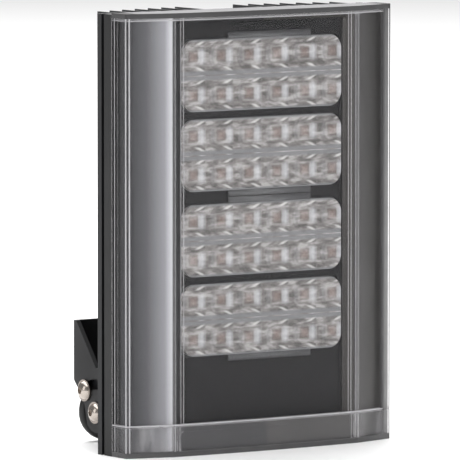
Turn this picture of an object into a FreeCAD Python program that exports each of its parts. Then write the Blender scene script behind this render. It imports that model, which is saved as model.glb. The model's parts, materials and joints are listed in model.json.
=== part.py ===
"""Infrared illuminator on a wall bracket, in millimetres: X right, Y rearward, Z up."""

import FreeCAD, Part
import math
import os

V = FreeCAD.Vector

# Head, as seen from the front
HEIGHT = 280.0
FLANK_X = 102.0
FLANK_DEPTH = 8.6
FRONT_BULGE = 2.5
CORNER_RADIUS = 1.6

# Clear covers
COVER_WALL = 3.0
COVER_SIDE = 16.4
STRIP_HEIGHT = 19.4
PART_LINE = 0.3
STRIP_RECESS = 0.6
RECESS_MARGIN = 3.4
RECESS_RADIUS = 3.0
SEAT_GAP = 0.3

# Housing frame and its seal
FRAME_DEPTH = 8.5
FRAME_WALL = 3.3
SPIGOT_WALL = 6.0
SPIGOT_REACH = 5.0
SEAL_DEPTH = 2.2
SEAL_HEIGHT = 2.0

# Heat sink extrusion
BASE_THICK = 5.5
GROOVE = 2.9
RAIL_DEPTH = 5.6
RAIL_WIDTH = 4.0
FIN_PITCH = 11.2
FIN_FIRST = 2
FIN_LAST = 8
FIN_ROOT = 2.2
FIN_TIP = 1.5
FIN_REACH_MID = 71.8
FIN_ARC_RADIUS = 313.6
PLINTH_INSET = 0.5
PLINTH_WALL = 3.5
PLINTH_WEB = 3.0
PLINTH_WEB_X = 20.0
PLINTH_LIP = 2.75

# Bezel and window
BEZEL_WALL = 1.5
WINDOW_SIDE_GAP = 1.0
WINDOW_SLOPE = 8.1
WINDOW_STEP = 3.4
WINDOW_TOP_MARGIN = 5.0
RETURN_WALL = 2.0
BACKING_Y = 9.2
BACKING_THICK = 1.2
BACKING_LAP = 3.5
BACKING_OPENING_GAP = 0.5
SHEET_THICK = 0.8

# Lens arrays, two on each board
ARRAY_WIDTH = 123.0
ARRAY_GAP = 4.9
ARRAY_RADIUS = 6.5
ARRAY_FRONT = 6.4
ARRAY_THICK = 2.6
ARRAY_EDGE = 0.6
LENS_END_MARGIN = 8.0
LENS_ROW_MARGIN = 21.0
LENS_SIDES = 8
LENS_COLUMNS = 6
LENS_MOUTH = 7.8
LENS_NECK = 3.6
TAB_LEFT = -25.0
TAB_RIGHT = 38.0
TAB_HEIGHT = 4.0
TAB_THICK = 1.2
LEG_HALF = 1.4

# Boards
BOARD_Y = 15.0
BOARD_THICK = 1.6
BOARD_SIDE_LAP = 0.5
BOARDS_LOW = 58.75
BOARDS_TOP_MARGIN = 9.85
BOARD_GAP = 2.4
PAD_THICK = 0.5
CHIP_SIZE = 3.5
CHIP_HEIGHT = 1.2
SCREW_CLEARANCE = 0.05
BOARD_SCREW_RADIUS = 1.5
BOARD_SCREW_HEAD = 2.75
BOARD_SCREW_HEAD_HEIGHT = 1.6
BOARD_SCREW_LENGTH = 5.0
DRIVER_WIDTH = 104.0
DRIVER_LOW = 8.0
DRIVER_DROP = 8.0
CAPACITOR_RADIUS = 5.0
CAPACITOR_HEIGHT = 12.0
CAPACITOR_PITCH = 12.0
TERMINAL_INSET = 10.0
TERMINAL_PITCH = 4.0
TERMINAL_DEPTH = 9.0
INDUCTOR_X = 22.0
INDUCTOR_RADIUS = 10.0
INDUCTOR_BORE = 4.0
INDUCTOR_DEPTH = 6.0
STANDOFF = 6.5
STANDOFF_RADIUS = 3.0

# Tilt pivot, its lock screw and the lugs that carry both
PIVOT_GAP = 4.7
PIVOT_Z = 21.8
LOCK_RADIUS = 18.0
LOCK_ANGLE = 47.3
TILT_RANGE = 45.0
LUG_THICK = 8.0
LUG_LOW = 4.0
LUG_HIGH = 56.0
TILT_SCREW_RADIUS = 3.0
TILT_SCREW_RUN = 0.08
WASHER_RADIUS = 7.0
WASHER_THICK = 1.2
HEAD_RADIUS = 5.8
HEAD_HEIGHT = 3.4
SOCKET_ACROSS = 4.0
SOCKET_DEPTH = 1.8
FACE_GAP = 0.1
LUG_SCREW_RADIUS = 2.5
LUG_SCREW_HEAD = 4.2
LUG_SCREW_HEAD_HEIGHT = 3.0
LUG_SCREW_LENGTH = 14.0

# Folded wall bracket
CHEEK_X = 80.0
SHEET = 3.0
BEND_RADIUS = 2.0
LOBE_RADIUS = 13.0
SLOT_CLEARANCE = 0.3
SLOT_WALL = 7.5
WALL_GAP = 27.5
WALL_LOW = 43.0
WALL_HIGH = 79.0
WALL_HOLE_RADIUS = 3.5
WALL_HOLE_SPACING = 100.0
LOWER_CORNER_RUN = 7.0
LOWER_CORNER_Z = 35.6

# Cable gland and cord
GLAND_Z = 40.0
GLAND_THREAD = 8.0
GLAND_FLATS = 22.0
GLAND_FLANGE = 5.0
GLAND_NUT_LENGTH = 16.0
LOCKNUT = 3.2
CORD_DIAMETER = 6.0
COIL_MEAN_RADIUS = 33.0
COIL_WIDTH = 24.0
COIL_HEIGHT = 16.4
COIL_X = 74.0
COIL_GAP = 48.0

# Places that follow from the sizes above
COVER_REAR = FLANK_DEPTH + COVER_SIDE
FRAME_REAR = COVER_REAR + FRAME_DEPTH
BASE_REAR = FRAME_REAR + BASE_THICK
RAIL_FRONT = FRAME_REAR + GROOVE
RAIL_REAR = RAIL_FRONT + RAIL_DEPTH
SPIGOT_FRONT = COVER_REAR - SPIGOT_REACH
SPIGOT_X = FLANK_X - COVER_WALL - SEAT_GAP
INNER_TOP = HEIGHT - COVER_WALL
CHEEK_INNER = CHEEK_X - SHEET
BEZEL_INSET = COVER_WALL + SEAT_GAP
BEZEL_TOP = INNER_TOP - SEAT_GAP
BEZEL_LOW = COVER_WALL + SEAT_GAP
BACKING_REAR = BACKING_Y + BACKING_THICK
PLINTH_FRONT = BOARD_Y + BOARD_THICK + PAD_THICK
PIVOT_Y = FIN_REACH_MID + PIVOT_GAP
LOCK_Y = PIVOT_Y + LOCK_RADIUS * math.cos(math.radians(LOCK_ANGLE))
LOCK_Z = PIVOT_Z + LOCK_RADIUS * math.sin(math.radians(LOCK_ANGLE))
WALL_Y = PIVOT_Y + WALL_GAP
LOWER_CORNER_Y = WALL_Y - LOWER_CORNER_RUN
COIL_Y = WALL_Y + COIL_GAP
WINDOW_X = ARRAY_WIDTH / 2 + WINDOW_SIDE_GAP
RIDGE_X = WINDOW_X + WINDOW_SLOPE
PLINTH_X = WINDOW_X - PLINTH_INSET
BACKING_X = WINDOW_X + BACKING_LAP
BOARD_WIDTH = ARRAY_WIDTH + 2 * BOARD_SIDE_LAP
LENS_PITCH_X = (ARRAY_WIDTH - 2 * LENS_END_MARGIN) / (LENS_COLUMNS - 1)
WINDOW_TOP = HEIGHT - WINDOW_TOP_MARGIN
BOARD_HEIGHT = (WINDOW_TOP - BOARDS_TOP_MARGIN - BOARDS_LOW - BOARD_GAP) / 2
MODULE_LOW = BOARDS_LOW + BOARD_HEIGHT / 2
MODULES = (MODULE_LOW, MODULE_LOW + BOARD_HEIGHT + BOARD_GAP)
ARRAY_PITCH = BOARD_HEIGHT / 2 - ARRAY_EDGE
ARRAY_HEIGHT = ARRAY_PITCH - ARRAY_GAP
LENS_PITCH_Z = ARRAY_HEIGHT - LENS_ROW_MARGIN
PLINTH_BOTTOM = BOARDS_LOW - PLINTH_LIP
DRIVER_HEIGHT = PLINTH_BOTTOM - DRIVER_LOW - DRIVER_DROP
SCREW_HOLE = BOARD_SCREW_RADIUS + SCREW_CLEARANCE
DRIVER_REAR = FRAME_REAR - STANDOFF
DRIVER_FRONT = DRIVER_REAR - BOARD_THICK
# Middle of the object's depth, which is the origin's place in Y
MIDDLE_Y = (WALL_Y - FRONT_BULGE) / 2


def box(x0, x1, y0, y1, z0, z1):
    return Part.makeBox(x1 - x0, y1 - y0, z1 - z0, V(x0, y0, z0))


def rod_y(radius, x, z, y0, y1):
    return Part.makeCylinder(radius, y1 - y0, V(x, y0, z), V(0, 1, 0))


def rod_x(radius, y, z, x0, x1):
    return Part.makeCylinder(radius, x1 - x0, V(x0, y, z), V(1, 0, 0))


def plan_prism(points, z0, z1):
    """Solid of an outline given in X and Y."""
    wire = Part.makePolygon([V(x, y, z0) for x, y in points + points[:1]])
    return Part.Face(wire).extrude(V(0, 0, z1 - z0))


def side_prism(points, x0, x1):
    """Solid of an outline given in Y and Z."""
    wire = Part.makePolygon([V(x0, y, z) for y, z in points + points[:1]])
    return Part.Face(wire).extrude(V(x1 - x0, 0, 0))


def rounded_plate(x0, x1, z0, z1, y0, y1, radius):
    plate = box(x0, x1, y0, y1, z0, z1)
    upright = [e for e in plate.Edges if abs(e.tangentAt(e.FirstParameter).y) > 0.9]
    return plate.makeFillet(radius, upright)


def mirrored(shape):
    return shape.mirror(V(0, 0, 0), V(1, 0, 0))


def group(shapes):
    return Part.makeCompound(shapes)


def front_prism(inset, rear, z0, z1):
    """Solid of the front's plan outline, set in by a wall and cut off flat at the rear."""
    arc = Part.Arc(V(-RIDGE_X, 0, z0), V(0, -FRONT_BULGE, z0), V(RIDGE_X, 0, z0)).toShape()
    far = HEIGHT
    corners = [(RIDGE_X, 0), (FLANK_X, FLANK_DEPTH), (FLANK_X, far), (-FLANK_X, far)]
    corners += [(-FLANK_X, FLANK_DEPTH), (-RIDGE_X, 0)]
    edges = [arc]
    for (ax, ay), (bx, by) in zip(corners, corners[1:]):
        edges.append(Part.makeLine(V(ax, ay, z0), V(bx, by, z0)))
    face = Part.Face(Part.Wire(edges))
    if inset:
        face = face.makeOffset2D(-inset, 2)
        face = Part.Face(face.Wires[0])
    solid = face.extrude(V(0, 0, z1 - z0))
    solid = solid.common(box(-HEIGHT, HEIGHT, -HEIGHT, rear, z0, z1))
    side = FLANK_X - inset
    corner = [
        e
        for e in solid.Edges
        if abs(abs(e.CenterOfMass.x) - side) < 0.01
        and e.CenterOfMass.y < rear - 1
        and abs(e.tangentAt(e.FirstParameter).z) > 0.9
    ]
    return solid.makeFillet(max(CORNER_RADIUS - inset / 2, 0.4), corner)


def save(name, shape):
    placed = shape.copy()
    placed.translate(V(0, -MIDDLE_Y, 0))
    placed.exportStep(f"parts/{name}.step")


# Clear covers and their seal
def make_front_cover():
    shell = front_prism(0, COVER_REAR, STRIP_HEIGHT, HEIGHT)
    return shell.cut(front_prism(COVER_WALL, COVER_REAR + 1, STRIP_HEIGHT - 1, INNER_TOP))


def make_bottom_cover():
    top = STRIP_HEIGHT - PART_LINE
    shell = front_prism(0, COVER_REAR, 0, top)
    shell = shell.cut(front_prism(COVER_WALL, COVER_REAR + 1, COVER_WALL, top + 1))
    low, high = RECESS_MARGIN, top - RECESS_MARGIN
    reach = RIDGE_X - RECESS_MARGIN
    pocket = rounded_plate(-reach, reach, low, high, -10, COVER_REAR, RECESS_RADIUS)
    floor = front_prism(STRIP_RECESS, COVER_REAR, 0, top)
    return shell.cut(pocket.cut(floor))


def make_cover_seal():
    outer = SPIGOT_X + SEAT_GAP / 2
    inner = outer - SEAL_DEPTH
    front = COVER_REAR - SEAL_HEIGHT - SEAT_GAP
    rear = front + SEAL_HEIGHT
    low, high = BEZEL_LOW - SEAT_GAP / 2, BEZEL_TOP + SEAT_GAP / 2
    ring = box(-outer, outer, front, rear, low, high)
    return ring.cut(box(-inner, inner, front, rear, low + SEAL_DEPTH, high - SEAL_DEPTH))


# Black ring between cover and heat sink
def make_housing_frame():
    outer = box(-FLANK_X, FLANK_X, COVER_REAR, FRAME_REAR, 0, HEIGHT - 1)
    spigot = box(-SPIGOT_X, SPIGOT_X, SPIGOT_FRONT, FRAME_REAR, BEZEL_LOW, BEZEL_TOP)
    inner = SPIGOT_X - SPIGOT_WALL
    low, high = BEZEL_LOW + FRAME_WALL, BEZEL_TOP - FRAME_WALL
    hollow = box(-inner, inner, SPIGOT_FRONT, FRAME_REAR, low, high)
    frame = outer.fuse(spigot).cut(hollow).cut(seal_groove())
    holes = [rod_y(SCREW_HOLE, x, z, FRAME_REAR - 8, FRAME_REAR) for x, z in frame_screw_places()]
    return cut_all(frame, holes)


def seal_groove():
    seal = make_cover_seal()
    box_of = seal.BoundBox
    inner = SPIGOT_X + SEAT_GAP / 2 - SEAL_DEPTH
    low, high = box_of.ZMin + SEAL_DEPTH, box_of.ZMax - SEAL_DEPTH
    block = box(-SPIGOT_X - 1, SPIGOT_X + 1, box_of.YMin, box_of.YMax, BEZEL_LOW - 1, BEZEL_TOP + 1)
    return block.cut(box(-inner, inner, box_of.YMin, box_of.YMax, low, high))


def frame_screw_places():
    fin_edge = FIN_LAST * FIN_PITCH + FIN_ROOT / 2
    x = (fin_edge + FLANK_X - RAIL_WIDTH) / 2
    heights = [HEIGHT * (i + 0.5) / 4 for i in range(4)]
    return [(side * x, z) for side in (-1, 1) for z in heights]


def cut_all(shape, tools):
    for tool in tools:
        shape = shape.cut(tool)
    return shape


def pan_screws(places, seat_y, length, towards=1, radius=BOARD_SCREW_RADIUS,
               head=BOARD_SCREW_HEAD, head_height=BOARD_SCREW_HEAD_HEIGHT):
    """Screws along Y whose heads seat at seat_y; towards is +1 where the shank runs rearward."""
    made = []
    for x, z in places:
        shank = sorted((seat_y, seat_y + towards * length))
        cap = sorted((seat_y, seat_y - towards * head_height))
        screw = rod_y(radius, x, z, *shank).fuse(rod_y(head, x, z, *cap))
        slot_low = cap[0] if towards > 0 else cap[1] - head_height / 2
        slot = box(x - head, x + head, slot_low, slot_low + head_height / 2, z - 0.4, z + 0.4)
        made.append(screw.cut(slot))
    return group(made)


# Heat sink: one extruded profile, drilled and with its plinth cut back over the driver
def fin_reach(x):
    return FIN_REACH_MID - x * x / (2 * FIN_ARC_RADIUS)


def fin(x):
    reach = fin_reach(x)
    r, t = FIN_ROOT / 2, FIN_TIP / 2
    outline = [(x - r, BASE_REAR - 1), (x + r, BASE_REAR - 1), (x + t, reach - t)]
    outline += [(x + t / 2, reach), (x - t / 2, reach), (x - t, reach - t)]
    return plan_prism(outline, 0, HEIGHT - 1)


def rail(side):
    outer, inner = side * FLANK_X, side * (FLANK_X - RAIL_WIDTH)
    bevel = 1.0
    outline = [(inner, FRAME_REAR), (inner, RAIL_REAR), (outer - side * bevel, RAIL_REAR)]
    outline += [(outer, RAIL_REAR - bevel), (outer, RAIL_FRONT), (inner + side, RAIL_FRONT)]
    outline += [(inner + side, FRAME_REAR)]
    return plan_prism(outline, 0, HEIGHT - 1)


def make_heat_sink():
    top = HEIGHT - 1
    base_x = FLANK_X - RAIL_WIDTH + 0.5
    body = box(-base_x, base_x, FRAME_REAR, BASE_REAR, 0, top)
    forms = [rail(-1), rail(1)]
    for i in range(FIN_FIRST, FIN_LAST + 1):
        forms += [fin(-i * FIN_PITCH), fin(i * FIN_PITCH)]
    plinth_top = MODULES[1] + BOARD_HEIGHT / 2
    plinth_rear = PLINTH_FRONT + PLINTH_WALL
    forms.append(box(-PLINTH_X, PLINTH_X, PLINTH_FRONT, plinth_rear, PLINTH_BOTTOM, plinth_top))
    web = PLINTH_WEB / 2
    for x in (-PLINTH_X + web, -PLINTH_WEB_X, PLINTH_WEB_X, PLINTH_X - web):
        forms.append(box(x - web, x + web, PLINTH_FRONT, FRAME_REAR + 1, PLINTH_BOTTOM, plinth_top))
    body = body.multiFuse(forms).removeSplitter()
    holes = [rod_y(SCREW_HOLE, x, z, FRAME_REAR - 1, BASE_REAR + 1) for x, z in frame_screw_places()]
    holes += [rod_y(SCREW_HOLE, x, z, PLINTH_FRONT - 1, plinth_rear) for x, z in board_screw_places()]
    holes += [rod_y(SCREW_HOLE, x, z, FRAME_REAR - 1, FRAME_REAR + 3) for x, z in driver_screw_places()]
    lug_hole = LUG_SCREW_RADIUS + SCREW_CLEARANCE
    holes += [rod_y(lug_hole, x, z, FRAME_REAR - 1, BASE_REAR + 1) for x, z in lug_screw_places()]
    holes.append(rod_y(GLAND_THREAD + SCREW_CLEARANCE, 0, GLAND_Z, FRAME_REAR - 1, BASE_REAR + 1))
    return cut_all(body, holes)


# Bezel, window plate and lens sheet
def make_bezel():
    low, high = BEZEL_LOW, BEZEL_TOP
    bezel = front_prism(BEZEL_INSET, SPIGOT_FRONT, low, high)
    hollow = front_prism(BEZEL_INSET + BEZEL_WALL, SPIGOT_FRONT + 1, low + BEZEL_WALL, high - BEZEL_WALL)
    bezel = bezel.cut(hollow)
    step_front = BEZEL_INSET - FRONT_BULGE
    lip_y = step_front + WINDOW_STEP
    bottom = STRIP_HEIGHT + SEAT_GAP
    for side in (-1, 1):
        wide, narrow = side * (RIDGE_X - 0.5), side * WINDOW_X
        back = side * (WINDOW_X + RETURN_WALL)
        ridge_y = BEZEL_INSET + 0.4
        lip = [(wide, ridge_y), (narrow, lip_y + 2), (narrow, BACKING_Y), (back, BACKING_Y)]
        lip += [(back, lip_y + 3.4), (wide, ridge_y + BEZEL_WALL)]
        bezel = bezel.fuse(plan_prism(lip, low + BEZEL_WALL / 2, high - BEZEL_WALL / 2))
    opening = box(-WINDOW_X, WINDOW_X, -FRONT_BULGE, BACKING_Y + 1, bottom, WINDOW_TOP)
    slope = [(-RIDGE_X, -FRONT_BULGE), (RIDGE_X, -FRONT_BULGE), (RIDGE_X - 0.5, BEZEL_INSET + 0.4)]
    slope += [(WINDOW_X, lip_y + 2), (-WINDOW_X, lip_y + 2), (0.5 - RIDGE_X, BEZEL_INSET + 0.4)]
    bezel = bezel.cut(plan_prism(slope, bottom, WINDOW_TOP)).cut(opening)
    for z0, z1 in ((bottom - RETURN_WALL, bottom), (WINDOW_TOP - RETURN_WALL, WINDOW_TOP)):
        bezel = bezel.fuse(box(-WINDOW_X - 1, WINDOW_X + 1, lip_y, BACKING_Y, z0, z1))
    return bezel.removeSplitter()


def array_centres():
    return [z + side * ARRAY_PITCH / 2 for z in MODULES for side in (-1, 1)]


def make_window_backing():
    low = STRIP_HEIGHT - RETURN_WALL
    plate = box(-BACKING_X, BACKING_X, BACKING_Y, BACKING_REAR, low, BEZEL_TOP - BEZEL_WALL - SEAT_GAP)
    gap = BACKING_OPENING_GAP
    wide, tall = ARRAY_WIDTH / 2 + gap, ARRAY_HEIGHT / 2 + gap
    for z in array_centres():
        hole = rounded_plate(-wide, wide, z - tall, z + tall, BACKING_Y - 1, BACKING_REAR + 1, ARRAY_RADIUS)
        plate = plate.cut(hole)
    return plate


def make_lens_sheet():
    rear = ARRAY_FRONT - SEAT_GAP
    edge = WINDOW_X - SEAT_GAP
    low, high = STRIP_HEIGHT + 2 * SEAT_GAP, WINDOW_TOP - RETURN_WALL - SEAT_GAP
    return box(-edge, edge, rear - SHEET_THICK, rear, low, high)


# Lens arrays
def lens_places(z):
    half = (LENS_COLUMNS - 1) / 2
    rows = [z + side * LENS_PITCH_Z / 2 for side in (-1, 1)]
    return [((i - half) * LENS_PITCH_X, row) for row in rows for i in range(LENS_COLUMNS)]


def lens_horn(x, z, wide_y, narrow_y):
    """The faceted horn that gathers one emitter's light."""
    rings = []
    for radius, y in ((LENS_MOUTH, wide_y), (LENS_NECK, narrow_y)):
        turns = [2 * math.pi * (k + 0.5) / LENS_SIDES for k in range(LENS_SIDES)]
        corners = [V(x + radius * math.cos(a), y, z + radius * math.sin(a)) for a in turns]
        rings.append(Part.makePolygon(corners + corners[:1]))
    return Part.makeLoft(rings, True, True)


def make_lens_array(z, tab_side):
    rear = ARRAY_FRONT + ARRAY_THICK
    wide, tall = ARRAY_WIDTH / 2, ARRAY_HEIGHT / 2
    array = rounded_plate(-wide, wide, z - tall, z + tall, ARRAY_FRONT, rear, ARRAY_RADIUS)
    tab_edges = sorted((z + tab_side * (tall - 1), z + tab_side * (tall + TAB_HEIGHT)))
    forms = [box(TAB_LEFT, TAB_RIGHT, ARRAY_FRONT + 0.4, ARRAY_FRONT + 0.4 + TAB_THICK, *tab_edges)]
    neck = BOARD_Y - CHIP_HEIGHT - SEAT_GAP
    for x, lens_z in lens_places(z):
        forms.append(lens_horn(x, lens_z, rear, neck))
    for x in (-wide + 2 * LEG_HALF, 0, wide - 2 * LEG_HALF):
        forms.append(box(x - LEG_HALF, x + LEG_HALF, rear - 0.5, BOARD_Y, z - LEG_HALF, z + LEG_HALF))
    return array.multiFuse(forms)


# Boards
def board_screw_places():
    """Between the lens columns, in the gap between a board's two arrays."""
    return [(side * 2 * LENS_PITCH_X, z) for z in MODULES for side in (-1, 1)]


def make_led_board(z):
    half, tall = BOARD_WIDTH / 2, BOARD_HEIGHT / 2
    board = rounded_plate(-half, half, z - tall, z + tall, BOARD_Y, BOARD_Y + BOARD_THICK, 2)
    rear = BOARD_Y + BOARD_THICK + 1
    holes = [rod_y(SCREW_HOLE, x, sz, BOARD_Y - 1, rear) for x, sz in board_screw_places()]
    return cut_all(board, holes)


def make_led_chips(z):
    chips = []
    for centre in (z - ARRAY_PITCH / 2, z + ARRAY_PITCH / 2):
        for x, chip_z in lens_places(centre):
            r = CHIP_SIZE / 2
            chips.append(box(x - r, x + r, BOARD_Y - CHIP_HEIGHT, BOARD_Y, chip_z - r, chip_z + r))
    return group(chips)


def make_thermal_pads():
    wide, tall = PLINTH_X - 2, BOARD_HEIGHT / 2 - 1
    pads = []
    for z in MODULES:
        pad = box(-wide, wide, BOARD_Y + BOARD_THICK, PLINTH_FRONT, z - tall, z + tall)
        holes = [rod_y(SCREW_HOLE, x, sz, BOARD_Y, PLINTH_FRONT + 1) for x, sz in board_screw_places()]
        pads.append(cut_all(pad, holes))
    return group(pads)


def driver_screw_places():
    x, z = DRIVER_WIDTH / 2 - 4, DRIVER_HEIGHT - 4
    return [(side * x, DRIVER_LOW + up) for side in (-1, 1) for up in (4, z)]


def make_driver_board():
    half = DRIVER_WIDTH / 2
    board = rounded_plate(-half, half, DRIVER_LOW, DRIVER_LOW + DRIVER_HEIGHT, DRIVER_FRONT, DRIVER_REAR, 2)
    holes = [rod_y(SCREW_HOLE, x, z, DRIVER_FRONT - 1, DRIVER_REAR + 1) for x, z in driver_screw_places()]
    return cut_all(board, holes)


def make_driver_standoffs():
    made = []
    for x, z in driver_screw_places():
        post = rod_y(STANDOFF_RADIUS, x, z, DRIVER_REAR, FRAME_REAR)
        made.append(post.cut(rod_y(SCREW_HOLE, x, z, DRIVER_REAR - 1, FRAME_REAR + 1)))
    return group(made)


def make_driver_inductor():
    z = DRIVER_LOW + DRIVER_HEIGHT / 2
    core = rod_y(INDUCTOR_RADIUS, INDUCTOR_X, z, DRIVER_FRONT - INDUCTOR_DEPTH, DRIVER_FRONT)
    return core.cut(rod_y(INDUCTOR_BORE, INDUCTOR_X, z, DRIVER_FRONT - INDUCTOR_DEPTH - 1, DRIVER_FRONT + 1))


def make_driver_capacitors():
    z = DRIVER_LOW + DRIVER_HEIGHT / 2
    cans = []
    for x in (-1.6 * CAPACITOR_PITCH, -0.1 * CAPACITOR_PITCH):
        for side in (-1, 1):
            front = DRIVER_FRONT - CAPACITOR_HEIGHT
            cans.append(rod_y(CAPACITOR_RADIUS, x, z + side * CAPACITOR_PITCH / 2, front, DRIVER_FRONT))
    return group(cans)


def make_terminal_block():
    z = DRIVER_LOW + DRIVER_HEIGHT / 2
    left = TERMINAL_INSET - DRIVER_WIDTH / 2
    front = DRIVER_FRONT - TERMINAL_DEPTH
    block = box(left, left + 4 * TERMINAL_PITCH, front, DRIVER_FRONT, z - 5, z + 5)
    half = 0.4 * TERMINAL_PITCH
    middles = [left + k * TERMINAL_PITCH for k in (1, 2, 3)]
    ports = [box(x - half, x + half, front + 3, DRIVER_FRONT - 2, z - 6, z) for x in middles]
    return cut_all(block, ports)


# Tilt lugs between the fins, and the screws that hold them
def lug_span():
    outer = CHEEK_INNER - FACE_GAP
    return outer - LUG_THICK, outer


def lug_screw_places():
    low, high = lug_span()
    x = (low + high) / 2
    return [(side * x, z) for side in (-1, 1) for z in (LUG_LOW + 10, LUG_HIGH - 10)]


def make_tilt_lug():
    low, high = lug_span()
    outline = [(BASE_REAR, LUG_LOW), (PIVOT_Y - 6, PIVOT_Z - 10), (PIVOT_Y + 5, PIVOT_Z - 10)]
    outline += [(PIVOT_Y + 11, PIVOT_Z), (LOCK_Y + 5, LOCK_Z - 2), (LOCK_Y + 4.5, LOCK_Z + 4)]
    outline += [(LOCK_Y - 4, LOCK_Z + 9), (BASE_REAR, LUG_HIGH)]
    lug = side_prism(outline, low, high)
    rounded = [
        e
        for e in lug.Edges
        if abs(e.tangentAt(e.FirstParameter).x) > 0.9 and e.CenterOfMass.y > BASE_REAR + 1
    ]
    lug = lug.makeFillet(1.6, rounded)
    hole = TILT_SCREW_RADIUS + SCREW_CLEARANCE
    tools = [rod_x(hole, y, z, low - 1, high + 1) for y, z in ((PIVOT_Y, PIVOT_Z), (LOCK_Y, LOCK_Z))]
    deep = LUG_SCREW_LENGTH + 1
    for x, z in lug_screw_places():
        if x > 0:
            tools.append(rod_y(LUG_SCREW_RADIUS + SCREW_CLEARANCE, x, z, BASE_REAR - 1, FRAME_REAR + deep))
    return cut_all(lug, tools)


def make_lug_screws():
    return pan_screws(lug_screw_places(), FRAME_REAR, LUG_SCREW_LENGTH, 1, LUG_SCREW_RADIUS,
                      LUG_SCREW_HEAD, LUG_SCREW_HEAD_HEIGHT)


# Button-head screws and washers of the tilt joint
def make_tilt_screw(y, z):
    seat = CHEEK_X + FACE_GAP + WASHER_THICK
    shank = rod_x(TILT_SCREW_RADIUS, y, z, lug_span()[0], seat)
    crown = (HEAD_RADIUS**2 + HEAD_HEIGHT**2) / (2 * HEAD_HEIGHT)
    ball = Part.makeSphere(crown, V(seat + HEAD_HEIGHT - crown, y, z))
    head = ball.common(rod_x(HEAD_RADIUS, y, z, seat, seat + HEAD_HEIGHT - 0.3))
    corner = SOCKET_ACROSS / math.sqrt(3)
    angles = [math.radians(60 * i) for i in range(6)]
    outline = [(y + corner * math.cos(a), z + corner * math.sin(a)) for a in angles]
    socket = side_prism(outline, seat + HEAD_HEIGHT - SOCKET_DEPTH, seat + HEAD_HEIGHT + 1)
    screw = shank.fuse(head.cut(socket))
    return group([screw, mirrored(screw)])


def make_tilt_washer(y, z):
    face = CHEEK_X + FACE_GAP
    washer = rod_x(WASHER_RADIUS, y, z, face, face + WASHER_THICK)
    washer = washer.cut(rod_x(TILT_SCREW_RADIUS + SCREW_CLEARANCE, y, z, face - 1, face + 2 * WASHER_THICK))
    return group([washer, mirrored(washer)])


# Folded bracket
def arc_slot(x0, x1):
    """Slot about the pivot that the lock screw runs in, from the rest place through the tilt range."""
    half = TILT_SCREW_RADIUS + SLOT_CLEARANCE
    ring = rod_x(LOCK_RADIUS + half, PIVOT_Y, PIVOT_Z, x0, x1)
    ring = ring.cut(rod_x(LOCK_RADIUS - half, PIVOT_Y, PIVOT_Z, x0 - 1, x1 + 1))
    far = 2 * LOCK_RADIUS
    angles = [LOCK_ANGLE, LOCK_ANGLE + TILT_RANGE / 2, LOCK_ANGLE + TILT_RANGE]
    turns = [math.radians(a) for a in angles]
    rays = [(PIVOT_Y + far * math.cos(t), PIVOT_Z + far * math.sin(t)) for t in turns]
    slot = ring.common(side_prism([(PIVOT_Y, PIVOT_Z)] + rays, x0, x1))
    for a in (angles[0], angles[-1]):
        y = PIVOT_Y + LOCK_RADIUS * math.cos(math.radians(a))
        z = PIVOT_Z + LOCK_RADIUS * math.sin(math.radians(a))
        slot = slot.fuse(rod_x(half, y, z, x0, x1))
    return slot


def cheek_face(x):
    """Outline of one cheek: wall edge, front slope, round about the arc slot, pivot lobe, rear slope."""
    top = PIVOT_Z + LOCK_RADIUS + TILT_SCREW_RADIUS + SLOT_WALL
    shoulder = PIVOT_Y - 4
    front = PIVOT_Y - LOBE_RADIUS
    turn = math.radians(-40)
    rear_y = PIVOT_Y + LOBE_RADIUS * math.cos(turn)
    rear_z = PIVOT_Z + LOBE_RADIUS * math.sin(turn)
    corner = 8.0
    slope = corner * math.sqrt(0.5)
    a = V(x, WALL_Y, WALL_HIGH)
    b = V(x, WALL_Y - SHEET - BEND_RADIUS, WALL_HIGH)
    c = V(x, PIVOT_Y, top)
    d = V(x, shoulder, top)
    e = V(x, front, top - corner)
    mid = V(x, shoulder - slope * 0.75, top - corner + slope * 0.85)
    f = V(x, front, PIVOT_Z)
    turn = math.radians(250)
    g = V(x, PIVOT_Y + LOBE_RADIUS * math.cos(turn), PIVOT_Z + LOBE_RADIUS * math.sin(turn))
    h = V(x, rear_y, rear_z)
    i = V(x, PIVOT_Y + LOBE_RADIUS, PIVOT_Z + 4)
    j = V(x, LOWER_CORNER_Y, LOWER_CORNER_Z)
    k = V(x, WALL_Y, WALL_LOW)
    edges = [Part.makeLine(a, b), Part.makeLine(b, c), Part.makeLine(c, d), Part.Arc(d, mid, e).toShape()]
    edges += [Part.makeLine(e, f), Part.Arc(f, g, h).toShape(), Part.makeLine(h, i)]
    edges += [Part.makeLine(i, j), Part.makeLine(j, k), Part.makeLine(k, a)]
    return Part.Face(Part.Wire(edges))


def make_wall_bracket():
    cheek = cheek_face(CHEEK_INNER).extrude(V(SHEET, 0, 0))
    plate = box(-CHEEK_X, CHEEK_X, WALL_Y - SHEET, WALL_Y, WALL_LOW, WALL_HIGH)
    bracket = plate.multiFuse([cheek, mirrored(cheek)]).removeSplitter()
    bends = [
        e
        for e in bracket.Edges
        if abs(abs(e.CenterOfMass.x) - CHEEK_X) < 0.01
        and abs(e.CenterOfMass.y - WALL_Y) < 0.01
        and abs(e.tangentAt(e.FirstParameter).z) > 0.9
    ]
    bracket = bracket.makeFillet(SHEET, bends)
    pivot = TILT_SCREW_RADIUS + TILT_SCREW_RUN
    reach = CHEEK_X + 1
    tools = [rod_x(pivot, PIVOT_Y, PIVOT_Z, -reach, reach), arc_slot(-reach, reach)]
    wall_z = (WALL_LOW + WALL_HIGH) / 2
    for side in (-1, 1):
        hole_x = side * WALL_HOLE_SPACING / 2
        tools.append(rod_y(WALL_HOLE_RADIUS, hole_x, wall_z, WALL_Y - SHEET - 1, WALL_Y + 1))
    return cut_all(bracket, tools)


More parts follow.
